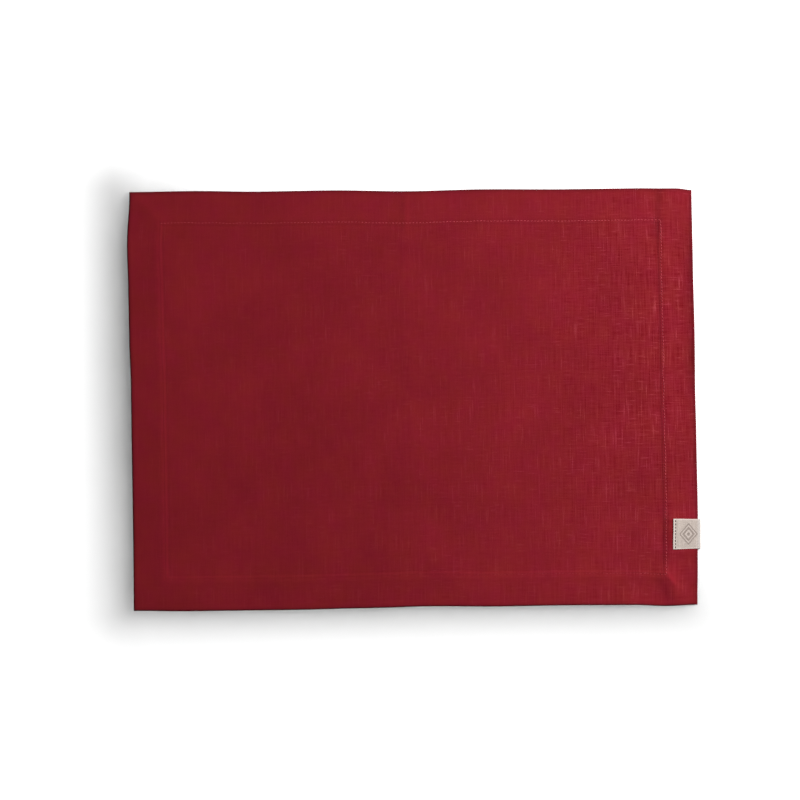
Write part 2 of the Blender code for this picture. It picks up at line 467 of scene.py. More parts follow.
def thicken(piece, name, thickness):
    """Gives a sheet its thickness, half of it to each side."""
    solid = piece.modifiers.new(name, "SOLIDIFY")
    solid.thickness, solid.offset, solid.use_even_offset = thickness, 0.0, True


# Widths of the painted shade along each folded edge; each vertex keeps how near it lies to one.
EDGE_SHADE_WIDTHS = {"right": 1.9 * MM, "left": 1.3 * MM, "back": 1.6 * MM, "front": 1.3 * MM}
UPPER_PULL, LOWER_PULL = 1.0, -0.3
edge_shade_layer = mat.verts.layers.float.new("edge_shade")
for vertex in mat.verts:
    upper = round(vertex[ring_layer]) <= UPPER_RINGS
    vertex[edge_shade_layer] = max(
        bump(side_place(side, *vertex.co.xy)[1], width) for side, width in EDGE_SHADE_WIDTHS.items())
    vertex.co = laid(*vertex.co, upper, UPPER_PULL if upper else LOWER_PULL)
bmesh.ops.recalc_face_normals(mat, faces=mat.faces)
if max(mat.faces, key=lambda face: face.calc_area()).normal.z < 0:
    bmesh.ops.reverse_faces(mat, faces=mat.faces)

cloth = new_object("linen_cloth", mesh_of(mat, "linen_cloth"))
thicken(cloth, "sheet_thickness", SHEET)
print("cloth vertices:", len(cloth.data.vertices), "polygons:", len(cloth.data.polygons))


# %% [markdown]
# ## Stitches
# The hem is held by one row of lockstitches, three millimetres long, in thread of the cloth's
# own red. A dashed line in the material would do from afar, but every stitch here is a small
# spindle that sinks into the cloth at both needle holes, so it catches the light. Adding a
# sphere to a full bmesh is slow, so one spindle of a few dozen faces is made first, and turned
# copies of its mesh are read into the row.

# %% Rows of stitches
UP = Vector((0, 0, 1))
THREAD, THREAD_FLAT = 0.20 * MM, 0.8
STITCHES_ABOVE = (-0.05 * MM, -0.12 * MM, -0.13 * MM, 0.03 * MM)
STITCHES_BELOW = (0.8 * THREAD,) * 4
STITCHES_SINK, SINK_ALONG = 0.05 * MM, (100 * MM, -100 * MM)
STITCH_SHARE, STITCH_SLANT = 0.78, 0.05
WANDER, WANDER_LENGTH = 0.7 * MM, 14 * MM
SPINDLE_SIDES = 6


def spindle():
    """One round stitch of radius 1 along Z, with a UV map for the thread's twist."""
    bm = bmesh.new()
    bm.loops.layers.uv.new("thread")
    bmesh.ops.create_uvsphere(
        bm, u_segments=SPINDLE_SIDES, v_segments=SPINDLE_SIDES, radius=1, calc_uvs=True)
    return mesh_of(bm, "spindle")


SPINDLE = spindle()


def add_stitch(bm, place, along, length, thread, slant):
    """One stitch: a spindle on the surface, its long axis along the row."""
    axis = (along + UP.cross(along) * slant).normalized()
    turned = Matrix((UP.cross(axis) * thread, UP * thread * THREAD_FLAT, axis * length / 2))
    stitch = SPINDLE.copy()
    stitch.transform(Matrix.Translation(place) @ turned.transposed().to_4x4())
    bm.from_mesh(stitch)
    bpy.data.meshes.remove(stitch)


def sewn_object(name, bm):
    bmesh.ops.recalc_face_normals(bm, faces=bm.faces)
    return new_object(name, mesh_of(bm, name))


def sewn_row(bm, start, end, pitch, height, upper, slant):
    """Stitches from one corner of the sewn row to the next, on one face of the hem. The row
    wanders a little, and on the upper face it sinks deeper toward the mat's left."""
    run = end - start
    across = UP.cross(run).normalized()
    count = round(run.length / pitch)
    for number in range(count):
        place = start + run * ((number + 0.5) / count)
        place += across * WANDER * noise.noise(place / WANDER_LENGTH)
        sunk = STITCHES_SINK * smooth_step(place.x, *SINK_ALONG) if upper else 0.0
        point, ahead = (
            laid(*spot.xy, height - sunk, upper) for spot in (place, place + run.normalized() * MM))
        add_stitch(bm, point, (ahead - point).normalized(), pitch * STITCH_SHARE, THREAD, slant)


def hem_stitches(name, heights, upper, slant):
    """The rows of the back, left, front and right hem, each at its own height."""
    bm = bmesh.new()
    x, y = HALF_X - SEWN_INSET, HALF_Y - SEWN_INSET
    corners = [Vector(corner) for corner in ((x, y, 0), (-x, y, 0), (-x, -y, 0), (x, -y, 0))]
    for start, end, height in zip(corners, corners[1:] + corners[:1], heights):
        pitch = PITCH_X if start.y == end.y else PITCH_Y
        sewn_row(bm, start, end, pitch, height, upper, slant)
    print(name, len(bm.faces) // len(SPINDLE.polygons), "stitches")
    return sewn_object(name, bm)


SEWN_POINT = min(UPPER_ROUTE, key=lambda point: abs(point.inset - SEWN_INSET))
SEWN_TOP = SEWN_POINT.height + SHEET / 2
upper_stitches = hem_stitches(
    "hem_stitches_upper", [SEWN_TOP + above for above in STITCHES_ABOVE], True, STITCH_SLANT)
lower_stitches = hem_stitches("hem_stitches_lower", STITCHES_BELOW, False, -STITCH_SLANT)


# %% [markdown]
# ## The tape label
# A short length of woven tape in natural linen is folded over the edge and sewn down near its
# ends, which are turned in so that they can't fray. Its route in the XZ plane goes from the
# turned end on the table out to the fold past the mat's edge, and back over the hem to the
# turned end on top. The route is drawn by extruding one vertex along it, and the line is then
# extruded across the tape's width.

# %% Route of the tape
TapePoint = namedtuple("TapePoint", "x z")
LABEL_END, LABEL_FOLD, TURNED = 229.0 * MM, 253.6 * MM, 4.0 * MM
LABEL_STITCH_X = 231.2 * MM
DOUBLED = 1.1 * TAPE
TURN_X = LABEL_END + DOUBLED / 2
BESIDE_FOLD, PRESSED = 0.2 * MM, 0.04 * MM
RAMP_LONG, RAMP_LOW = 2.2 * MM, 0.03 * MM
RAISED_AT, CLEARANCE = 240 * MM, 0.05 * MM
FOLD_STEPS, FOLD_BULGE = 10, 0.45
HEM_EDGE_BAND = 247 * MM
LOW_LEG_MM, HIGH_LEG_MM = (232, 236, 240, 244, 248, 251), (250, 247, 244, 241, 238)
LOW_END_SHARES, HIGH_END_SHARES = (1, 0.6), (0.5, 0.9)


def half_turn(x, low, high, bulge):
    """Points round a fold from the low layer to the high one. bulge is how far it comes out in
    X, as a share of half its height, negative toward the mat's middle."""
    radius, middle = (high - low) / 2, (high + low) / 2
    return [
        TapePoint(x + bulge * radius * cos(angle), middle + radius * sin(angle))
        for angle in (pi * (step / FOLD_STEPS - 0.5) for step in range(FOLD_STEPS + 1))]


def hem_top(x):
    """Top of the straight, pressed hem at a place across it."""
    inset = HALF_X - min(x, HEM_EDGE_BAND)
    points = UPPER_ROUTE[::-1]
    near, far = next(pair for pair in zip(points, points[1:]) if inset <= pair[1].inset)
    share = (inset - near.inset) / (far.inset - near.inset)
    return near.height + (far.height - near.height) * share + SHEET / 2


def lower_leg():
    """From the turned end, over the leg on the table, out to the fold."""
    low = TAPE / 2
    leg = [TapePoint(LABEL_END + share * TURNED, low + DOUBLED) for share in LOW_END_SHARES]
    leg += reversed(half_turn(TURN_X, low, low + DOUBLED, -1))
    return leg + [TapePoint(x * MM, low) for x in LOW_LEG_MM]


def upper_leg():
    """From the fold back over the hem to the turned end, which lies under the leg."""
    rise = RIDE_HEIGHT + relief(RAISED_AT, LABEL_MIDDLE) + TAPE / 2 + CLEARANCE
    high = hem_top(LABEL_FOLD) + rise
    fold_starts = LABEL_FOLD - TAPE / 2 - FOLD_BULGE * (high - TAPE / 2) / 2
    leg = half_turn(fold_starts, TAPE / 2, high, FOLD_BULGE)
    leg += [TapePoint(fold_starts - BESIDE_FOLD, high)]
    leg += [TapePoint(x * MM, hem_top(x * MM) + rise) for x in HIGH_LEG_MM]
    end = LABEL_END + TURNED
    top = hem_top(LABEL_STITCH_X) + rise
    leg += [
        TapePoint(end + RAMP_LONG, top + RAMP_LOW), TapePoint(end, top + DOUBLED - PRESSED),
        TapePoint(LABEL_STITCH_X, top + DOUBLED - 2 * PRESSED),
        TapePoint(TURN_X + BESIDE_FOLD, top + DOUBLED)]
    leg += reversed(half_turn(TURN_X, top, top + DOUBLED, -1))
    return leg + [TapePoint(LABEL_END + share * TURNED, top) for share in HIGH_END_SHARES]


label_route = lower_leg() + upper_leg()
print("tape route points:", len(label_route))


# %% Tape folded over the edge
SELVEDGE_SHARES = (-1.0, -0.985, -0.93)
ACROSS_STEPS = 12
LABEL_TAPER, LABEL_LEAN = 0.45 * MM, 0.20 * MM
ON_HEM, SAG, SAG_CURL = (4 * TAPE, 6 * TAPE), 0.06 * MM, 4
WAVE, WAVE_ACROSS, WAVE_SEED = 0.04 * MM, 7 * MM, 5.1
BOW, BOW_LENGTH = 0.10 * MM, 5 * MM


def drawn_line(bm, run, y):
    """The tape's route as a chain of edges, with the length up to each vertex on a layer."""
    tip = bm.verts.new((label_route[0].x, y, label_route[0].z))
    for point, length in zip(label_route[1:], lengths[1:]):
        tip = bmesh.ops.extrude_vert_indiv(bm, verts=[tip])["verts"][0]
        tip.co, tip[run] = (point.x, y, point.z), length
    return list(bm.edges)


def across_shares():
    """Places across the tape, as shares of its half width, close together at the selvedges."""
    inner = SELVEDGE_SHARES[-1]
    evenly = [inner - 2 * inner * step / ACROSS_STEPS for step in range(1, ACROSS_STEPS)]
    return [*SELVEDGE_SHARES, *evenly, *(-share for share in reversed(SELVEDGE_SHARES))]


def folded_tape():
    """The tape's middle surface, drawn along one selvedge and extruded to the other."""
    bm = bmesh.new()
    run = bm.verts.layers.float.new("run")
    edges = drawn_line(bm, run, LABEL_MIDDLE - LABEL_HALF)
    shares = across_shares()
    for before, share in zip(shares, shares[1:]):
        verts, edges = extruded(bm, edges)
        bmesh.ops.translate(bm, vec=(0, (share - before) * LABEL_HALF, 0), verts=verts)
    return bm, run


lengths = lengths_along(label_route)
tape, run_layer = folded_tape()
tape_map = tape.loops.layers.uv.new("flat_cut")
for face in tape.faces:
    for loop in face.loops:
        loop[tape_map].uv = (loop.vert[run_layer], loop.vert.co.y - LABEL_MIDDLE)


def tape_settled(x, y, z):
    """Narrows the tape a little towards its fold, and lets its upper leg lie unevenly."""
    from_middle = y - LABEL_MIDDLE
    towards_fold = smooth_step(x, LABEL_END, LABEL_FOLD)
    y = LABEL_MIDDLE + from_middle * (1 - towards_fold * LABEL_TAPER / LABEL_HALF)
    sag = SAG * (from_middle / LABEL_HALF) ** SAG_CURL
    wave = WAVE * noise.noise(Vector((x / WAVE_ACROSS, y / WAVE_ACROSS, WAVE_SEED)))
    bowed = BOW * sin(from_middle / BOW_LENGTH)
    leaning = LABEL_LEAN * (1 - towards_fold) * from_middle / LABEL_HALF
    return Vector((x + bowed + leaning, y, z + (wave - sag) * smooth_step(z, *ON_HEM)))


for vertex in tape.verts:
    vertex.co = tape_settled(*vertex.co)
label = sewn_object("tape_label", tape)
thicken(label, "tape_thickness", TAPE)


# %% [markdown]
# ## Stitches through the label
# One short row of darker thread holds both legs of the tape near its turned ends. It is made
# with the hem's own stitch, one row on top and one underneath.

# %% Row through the label
LABEL_PITCH, LABEL_THREAD = 2.9 * MM, 0.22 * MM
LABEL_STITCH_SHARE, LABEL_SLANT = 0.75, 0.06
LABEL_STITCH_ABOVE, LABEL_STITCH_BELOW = 0.09 * MM, 0.6 * LABEL_THREAD
NEAR_STITCHES = 2 * MM


def label_row(name, height):
    bm = bmesh.new()
    count = int(2 * LABEL_HALF / LABEL_PITCH)
    start = LABEL_MIDDLE - count * LABEL_PITCH / 2
    length = LABEL_PITCH * LABEL_STITCH_SHARE
    for number in range(count):
        point = tape_settled(LABEL_STITCH_X, start + (number + 0.5) * LABEL_PITCH, height)
        add_stitch(bm, point, Vector((0, 1, 0)), length, LABEL_THREAD, LABEL_SLANT)
    return sewn_object(name, bm)


label_top = TAPE / 2 + max(
    point.z for point in label_route if point.x < LABEL_STITCH_X + NEAR_STITCHES)
label_stitches = label_row("label_stitches_upper", label_top + LABEL_STITCH_ABOVE)
label_stitches_low = label_row("label_stitches_lower", LABEL_STITCH_BELOW)
print("label top at the stitches, mm:", round(label_top / MM, 2))


# %% [markdown]
# ## Woven threads as a node group
# Linen is a plain weave of uneven yarns. From above one sees its threads as short strokes,
# each a little lighter or darker than the next, with thick places called slubs. An image of
# linen would repeat, so the weave is built from maths on the flat-cut map: threads are counted
# along both directions, each count gives a random tone, and a long thin noise along the thread
# gives the slubs. The red cloth and the tape share this group with their own thread counts.

# %% Helpers for shader trees
def add_node(tree, kind, **settings):
    node = tree.nodes.new(kind)
    for name, value in settings.items():
        setattr(node, name, value)
    return node


def feed(socket, value):
    """Links an output to a socket, or sets the socket's own value."""
    if isinstance(value, bpy.types.NodeSocket):
        socket.id_data.links.new(value, socket)
    else:
        socket.default_value = value


def feed_named(node, **values):
    """Feeds a node's sockets by name, where an underscore stands for a space."""
    for name, value in values.items():
        feed(node.inputs[name.replace("_", " ")], value)


def calc(tree, operation, *values, clamp=False):
    node = add_node(tree, "ShaderNodeMath", operation=operation, use_clamp=clamp)
    for socket, value in zip(node.inputs, values):
        feed(socket, value)
    return node.outputs[0]


def split(tree, vector):
    node = add_node(tree, "ShaderNodeSeparateXYZ")
    feed(node.inputs[0], vector)
    return node.outputs


def noise_at(tree, vector, scale, detail=0.0, roughness=0.5, output="Fac"):
    node = add_node(tree, "ShaderNodeTexNoise")
    feed_named(node, Vector=vector, Scale=scale, Detail=detail, Roughness=roughness)
    return node.outputs[output]


def ranged(tree, value, low, high, to_low=0.0, to_high=1.0, smooth=False):
    node = add_node(
        tree, "ShaderNodeMapRange", interpolation_type="SMOOTHSTEP" if smooth else "LINEAR")
    feed_named(node, Value=value, From_Min=low, From_Max=high, To_Min=to_low, To_Max=to_high)
    return node.outputs["Result"]


def mixed(tree, share, first, second, blend="MIX", clamp=True):
    """Mixes two colours, at inputs 6 and 7 and output 2 of a Mix node."""
    node = add_node(
        tree, "ShaderNodeMix", data_type="RGBA", blend_type=blend, clamp_factor=clamp)
    for place, value in ((0, share), (6, first), (7, second)):
        feed(node.inputs[place], value)
    return node.outputs[2]


def new_group(name, inputs, outputs):
    """A shader node group that works on a vector, with float inputs and outputs."""
    group = bpy.data.node_groups.new(name, "ShaderNodeTree")
    new_socket = group.interface.new_socket
    new_socket("Vector", in_out="INPUT", socket_type="NodeSocketVector")
    for title, value in inputs.items():
        new_socket(title, in_out="INPUT", socket_type="NodeSocketFloat").default_value = value
    for title in outputs:
        new_socket(title, in_out="OUTPUT", socket_type="NodeSocketFloat")
    return group, add_node(group, "NodeGroupInput").outputs, add_node(group, "NodeGroupOutput").inputs


# %% Group of woven threads
WARP_LONGER, WEFT_QUIETER = 2.1, 0.68
WARP_SEED, WEFT_SEED, ROW_STEP = 3.1, 57.7, 0.62
WANDER_SCALE, OWN_TONE = 34.0, 0.20
LINEN_THREADS = {
    "Warp Pitch": 0.62 * MM, "Weft Pitch": 0.66 * MM, "Wander": 0.6 * MM, "Slub Length": 11 * MM}
SLUB_WHERE, THIN_WHERE = (0.60, 0.78), (0.40, 0.26)
THICK, SLUB_THICKER, SLUB_HIGHER, ROUNDNESS = 0.92, 0.35, 0.35, 3.2
Threads = namedtuple("Threads", "turns count dome tone slub thin")


def thread_family(tree, across, along, pitch, slub_length, seed):
    """One direction of threads: their count, round section, tones, slubs and thin places."""
    turns = calc(tree, "DIVIDE", across, pitch)
    count = calc(tree, "FLOOR", turns)
    row = calc(tree, "MULTIPLY_ADD", count, ROW_STEP, seed)
    place = add_node(tree, "ShaderNodeCombineXYZ")
    feed_named(place, X=row, Y=calc(tree, "DIVIDE", along, slub_length))
    slow = noise_at(tree, place.outputs[0], 1.0, detail=1.0)
    own = add_node(tree, "ShaderNodeTexWhiteNoise", noise_dimensions="1D")
    feed_named(own, W=row)
    slub = ranged(tree, slow, *SLUB_WHERE, smooth=True)
    thin = ranged(tree, slow, *THIN_WHERE, smooth=True)
    within = calc(tree, "SUBTRACT", calc(tree, "FRACT", turns), 0.5)
    off_axis = calc(
        tree, "DIVIDE", within, calc(tree, "MULTIPLY_ADD", slub, SLUB_THICKER, THICK))
    fallen = calc(tree, "MULTIPLY", calc(tree, "MULTIPLY", off_axis, off_axis), ROUNDNESS)
    dome = calc(tree, "SUBTRACT", 1.0, fallen, clamp=True)
    tone = calc(tree, "MULTIPLY_ADD", own.outputs["Value"], OWN_TONE, calc(
        tree, "MULTIPLY", slow, 1 - OWN_TONE))
    return Threads(turns, count, dome, tone, slub, thin)


def thread_height(tree, threads, crossing_turns, sign):
    """Height of a thread, which goes over one crossing thread and under the next."""
    flip = calc(tree, "COSINE", calc(tree, "MULTIPLY", threads.count, pi))
    swing = calc(tree, "COSINE", calc(tree, "MULTIPLY_ADD", crossing_turns, pi, -pi / 2))
    lift = calc(tree, "MULTIPLY_ADD", calc(tree, "MULTIPLY", flip, swing), 0.5 * sign, 0.5)
    return calc(tree, "MULTIPLY", threads.dome, calc(
        tree, "MULTIPLY_ADD", threads.slub, SLUB_HIGHER, lift))


def woven_threads():
    tree, given, out = new_group(
        "woven threads", LINEN_THREADS, ("Height", "Tone", "Slub", "Thin"))
    drift = noise_at(tree, given["Vector"], WANDER_SCALE, detail=1.0, output="Color")
    x, y = (
        calc(tree, "MULTIPLY_ADD", calc(tree, "SUBTRACT", off, 0.5), given["Wander"], straight)
        for off, straight in zip(split(tree, drift)[:2], split(tree, given["Vector"])[:2]))
    longer = calc(tree, "MULTIPLY", given["Slub Length"], WARP_LONGER)
    warp = thread_family(tree, x, y, given["Warp Pitch"], longer, WARP_SEED)
    weft = thread_family(tree, y, x, given["Weft Pitch"], given["Slub Length"], WEFT_SEED)
    warp_height = thread_height(tree, warp, weft.turns, 1)
    weft_height = thread_height(tree, weft, warp.turns, -1)
    warp_shows = calc(tree, "GREATER_THAN", warp_height, weft_height)
    feed(out["Height"], calc(tree, "MAXIMUM", warp_height, weft_height))
    for name, of_warp, of_weft, even in (
            ("Tone", warp.tone, weft.tone, 0.5), ("Slub", warp.slub, weft.slub, 0.0),
            ("Thin", warp.thin, weft.thin, 0.0)):
        quieter = calc(tree, "MULTIPLY_ADD", of_weft, WEFT_QUIETER, even * (1 - WEFT_QUIETER))
        shown = add_node(tree, "ShaderNodeMix")
        feed_named(shown, Factor=warp_shows, A=quieter, B=of_warp)
        feed(out[name], shown.outputs[0])
    return tree


threads_group = woven_threads()
print("nodes in", threads_group.name, len(threads_group.nodes))


# %% [markdown]
# ## Red linen
# Dyed linen is matt, with a low sheen from its fibres. Its thick places are painted paler, as
# highlights on the slubs, and its thin ones darker, as painted shade in the open weave, more so
# toward the mat's right, near the lamp. The material mixes reds of one dye by the threads' tone,
# slubs and thin places, turns soft patches a little warmer or cooler, clouds the whole broadly,
# and paints shade along the folded edges, where the cloth turns away. One flat red would look
# like felt. Sheen and gloss are the same all over, so they are set on the shader itself.

# %% Material of the cloth
# The two darkest reds are painted shade; the palest is painted highlight on the slubs.
RED_EDGE_SHADE = (0.0473, 0.0036, 0.0054, 1)
RED_GAP_SHADE = (0.0793, 0.0028, 0.0052, 1)
RED_DEEP = (0.0980, 0.0044, 0.0074, 1)
RED_MEAN = (0.1106, 0.0065, 0.0101, 1)
RED_FACE = (0.1221, 0.0089, 0.0130, 1)
RED_SLUB_HIGHLIGHT = (0.1933, 0.0262, 0.0348, 1)
RED_GLEAM = (1.0, 0.36, 0.40, 1)
WARM_TINT, COOL_TINT = (1.0, 1.09, 0.91, 1), (1.0, 0.91, 1.09, 1)
LEFT_TO_RIGHT, AT_RIGHT = (-HALF_X, 0.6 * HALF_X, 0.29, 0.85), (0.36 * HALF_X, 0.86 * HALF_X)
FRONT_TO_BACK = (-0.7 * HALF_Y, -0.1 * HALF_Y, 0.26, 1.20)
BACK_HEM = (0.78 * HALF_Y, 0.88 * HALF_Y, 1.0, 0.7)
PATCH_SCALE, EDGE_SHADE_SCALE, HUE_SCALE, CLOUD_SCALE = 28.0, 220.0, 42.0, 16.0
GAP_SHADE_SHOWS, SLUB_HIGHLIGHT_SHOWS = (0.62, 0.38, 0.1, 0.7), (0.38, 0.64, 0.08, 0.46)
EDGE_SHADE_SHOWS, CLOUD_SHOWS = (0.3, 0.7, 0.70, 1.0), (0.3, 0.7, 0.92, 1.08)
RED_TONES, RED_HUES, RED_ROUGH = (0.30, 0.72), (0.35, 0.65), (0.2, 0.8, 1.0, 0.90)
RED_BUMP, RED_SHEEN, CLOUDY = (0.12 * MM, 0.5), 0.02, {"detail": 3.0, "roughness": 0.6}
CLOTH_GLOSS, SHEEN_ROUGH = 0.005, 0.45


def new_material(name):
    material = bpy.data.materials.new(name)
    material.use_nodes = True
    return material, material.node_tree, material.node_tree.nodes["Principled BSDF"]


def uv_of(tree, name):
    return add_node(tree, "ShaderNodeUVMap", uv_map=name).outputs["UV"]


def threads_in(tree, vector, **values):
    node = add_node(tree, "ShaderNodeGroup", node_tree=threads_group)
    feed_named(node, Vector=vector, **values)
    return node.outputs


def layered(tree, colour, layers):
    """Lays tints over a colour in turn, each as strongly as its mask times its strength."""
    for mask, strength, tint in layers:
        colour = mixed(tree, calc(tree, "MULTIPLY", mask, strength), colour, tint)
    return colour


def bumped(tree, shader, height, distance, strength=1.0):
    node = add_node(tree, "ShaderNodeBump")
    feed_named(node, Distance=distance, Strength=strength, Height=height)
    feed_named(shader, Normal=node.outputs["Normal"])


def set_cloth_gloss(shader, gleam, sheen):
    """Gloss and sheen that are the same all over a fabric. The gloss is so low because a
    smoother cloth turns pale when it is seen toward the lamp."""
    feed_named(
        shader, Specular_IOR_Level=CLOTH_GLOSS, Specular_Tint=gleam, Sheen_Weight=sheen,
        Sheen_Roughness=SHEEN_ROUGH, Sheen_Tint=gleam)


def weave_contrast_toward_lamp(tree, cut):
    """How strongly the threads' colours differ, painted highlights and shade included: least at
    the mat's left and most at its right hem, near the lamp.
    """
    x, y, _ = split(tree, cut)
    at_right = ranged(tree, x, *AT_RIGHT, smooth=True)
    by_place = calc(
        tree, "MULTIPLY_ADD", at_right, ranged(tree, y, *FRONT_TO_BACK),
        ranged(tree, x, *LEFT_TO_RIGHT))
    return calc(tree, "MULTIPLY", by_place, ranged(tree, y, *BACK_HEM))


def threads_coloured(tree, cut, threads):
    """The threads' own reds, with thin places painted darker as shade and slubs painted paler as
    highlights, more so at the right, near the lamp.
    """
    colour = mixed(tree, ranged(tree, threads["Tone"], *RED_TONES), RED_DEEP, RED_FACE)
    patches = noise_at(tree, cut, PATCH_SCALE, detail=2.0)
    # Thin places get painted shade, and slubs get painted highlights.
    colour = layered(tree, colour, (
        (threads["Thin"], ranged(tree, patches, *GAP_SHADE_SHOWS), RED_GAP_SHADE),
        (threads["Slub"], ranged(tree, patches, *SLUB_HIGHLIGHT_SHOWS), RED_SLUB_HIGHLIGHT)))
    # The painted highlights and shade of the weave are made stronger toward the lamp.
    return mixed(tree, weave_contrast_toward_lamp(tree, cut), RED_MEAN, colour, clamp=False)


def red_linen():
    material, tree, shader = new_material("red_linen")
    cut = uv_of(tree, "flat_cut")
    threads = threads_in(tree, cut)
    # The folded edges are painted darker, a painted shade where the cloth turns away.
    folded = add_node(tree, "ShaderNodeAttribute", attribute_name="edge_shade").outputs["Fac"]
    patchy = ranged(tree, noise_at(tree, cut, EDGE_SHADE_SCALE, detail=2.0), *EDGE_SHADE_SHOWS)
    colour = layered(
        tree, threads_coloured(tree, cut, threads), [(folded, patchy, RED_EDGE_SHADE)])
    hues = noise_at(tree, cut, HUE_SCALE, **CLOUDY)
    tint = mixed(tree, ranged(tree, hues, *RED_HUES), COOL_TINT, WARM_TINT)
    cloud = noise_at(tree, cut, CLOUD_SCALE, **CLOUDY)
    clouded = add_node(tree, "ShaderNodeHueSaturation")
    feed_named(
        clouded, Color=mixed(tree, 1.0, colour, tint, blend="MULTIPLY"),
        Value=ranged(tree, cloud, *CLOUD_SHOWS))
    feed_named(
        shader, Base_Color=clouded.outputs["Color"],
        Roughness=ranged(tree, threads["Tone"], *RED_ROUGH))
    bumped(tree, shader, threads["Height"], *RED_BUMP)
    set_cloth_gloss(shader, RED_GLEAM, RED_SHEEN)
    return material


cloth.data.materials.append(red_linen())


# %% [markdown]
# ## Threads and tape
# The sewing thread is the same red, a little paler and smoother, with its twist as a fine
# slanting bump and painted shade in the twist's grooves. The tape is undyed linen, grey-beige
# with taupe flecks. It is paler at its two selvedges, at its turned end and at its fold. Nested
# lozenges with stepped sides are woven into its upper leg in taupe; counting whole steps of the
# weave gives their stair edges, which a drawn line would not have.

# %% Materials of the threads
THREAD_RED, THREAD_RED_DEEP = (0.313, 0.049, 0.063, 1), (0.213, 0.028, 0.037, 1)
THREAD_TAUPE, THREAD_TAUPE_DEEP = (0.085, 0.062, 0.050, 1), (0.045, 0.032, 0.025, 1)
TAUPE_GLEAM, THREAD_SHEEN = (1, 0.95, 0.9, 1), 0.1
TWIST_TURNS, TWIST_HIGH, TWIST_ROUGH = 7, 0.05 * MM, (0.75, 0.55)


def sewing_thread(name, pale, groove_shade, gleam):
    material, tree, shader = new_material(name)
    around, along, _ = split(tree, uv_of(tree, "thread"))
    slanted = calc(tree, "MULTIPLY_ADD", along, TWIST_TURNS, around)
    twist = calc(tree, "SINE", calc(tree, "MULTIPLY", slanted, tau))
    ply = ranged(tree, twist, -1.0, 1.0)
    # The thread is painted darker in the twist's grooves, as their shade, and paler on its crests.
    feed_named(
        shader, Base_Color=mixed(tree, ply, groove_shade, pale),
        Roughness=ranged(tree, ply, 0.0, 1.0, *TWIST_ROUGH))
    bumped(tree, shader, ply, TWIST_HIGH)
    set_cloth_gloss(shader, gleam, THREAD_SHEEN)
    return material


red_thread = sewing_thread("red_thread", THREAD_RED, THREAD_RED_DEEP, RED_GLEAM)
taupe_thread = sewing_thread("taupe_thread", THREAD_TAUPE, THREAD_TAUPE_DEEP, TAUPE_GLEAM)
for piece, finish in (
        (upper_stitches, red_thread), (lower_stitches, red_thread),
        (label_stitches, taupe_thread), (label_stitches_low, taupe_thread)):
    piece.data.materials.append(finish)


# %% Material of the tape
TAPE_DEEP, TAPE_FACE = (0.214, 0.181, 0.162, 1), (0.267, 0.230, 0.205, 1)
# The fold gets a paler, greyer beige of its own.
TAPE_PALE, TAPE_AT_FOLD = (0.37, 0.322, 0.295, 1), (0.292, 0.267, 0.252, 1)
MOTIF_TAUPE = (0.12, 0.095, 0.084, 1)
PALE_X, FOLD_TONE_X = LABEL_END + DOUBLED, LABEL_FOLD - 0.5 * MM
MOTIF_X, MOTIF_STEPS = 242.6 * MM, (0.66 * MM, 0.80 * MM)
DARK_RINGS, LIGHT_RINGS = ((11.5, 9.5), (7.5, 4.5), (1.5, -1.0)), ((9.5, 7.5), (4.5, 1.5))
TAPE_THREADS = {
    "Warp_Pitch": 0.42 * MM, "Weft_Pitch": 0.46 * MM, "Wander": 0.15 * MM, "Slub_Length": 6 * MM}
AT_SELVEDGE, AT_END, AT_FOLD = (
    (12.2 * MM, 12.9 * MM), (2.2 * MM, 1.7 * MM), (3.4 * MM, 1.2 * MM))
TAPE_TONES, TAPE_ROUGH = (0.3, 0.7), (0.2, 0.8, 0.92, 0.78)
FLECK_SCALE, FLECKS, MOTIF_WORN = 900.0, (0.68, 0.78), (0.25, 0.75, 0.50, 0.90)
SLUB_SHARE, PALE_SHARE, FOLD_SHARE, FLECK_SHARE, LIGHT_SHARE = 0.5, 0.6, 0.9, 0.5, 0.25
MOTIF_HIGHER, TAPE_BUMP, ON_TOP = 0.5, (0.10 * MM, 0.8), 3 * TAPE
TAPE_GLEAM, TAPE_SHEEN = (1, 0.96, 0.92, 1), 0.05


def run_on_top(x):
    """Where a place of the upper leg is along the tape."""
    upper = [(length, point) for length, point in zip(lengths, label_route) if point.z > ON_TOP]
    for (before, near), (after, far) in zip(upper, upper[1:]):
        if min(near.x, far.x) <= x <= max(near.x, far.x):
            return before + (after - before) * (x - near.x) / (far.x - near.x)
    return upper[-1][0]


def steps_away(tree, cut, middle):
    """Steps of the weave from the motif's middle, counted along the tape and across it."""
    counted = []
    for value, start, step in zip(split(tree, cut), (middle, 0.0), MOTIF_STEPS):
        away = calc(tree, "ABSOLUTE", calc(tree, "SUBTRACT", value, start))
        counted.append(calc(tree, "FLOOR", calc(tree, "DIVIDE", away, step)))
    return calc(tree, "ADD", *counted)


def lozenges(tree, steps, rings):
    """Mask of nested lozenges with stepped sides."""
    mask = 0.0
    for outer, inner in rings:
        band = calc(tree, "MULTIPLY", calc(tree, "LESS_THAN", steps, outer),
                    calc(tree, "GREATER_THAN", steps, inner))
        mask = calc(tree, "ADD", mask, band, clamp=True)
    return mask


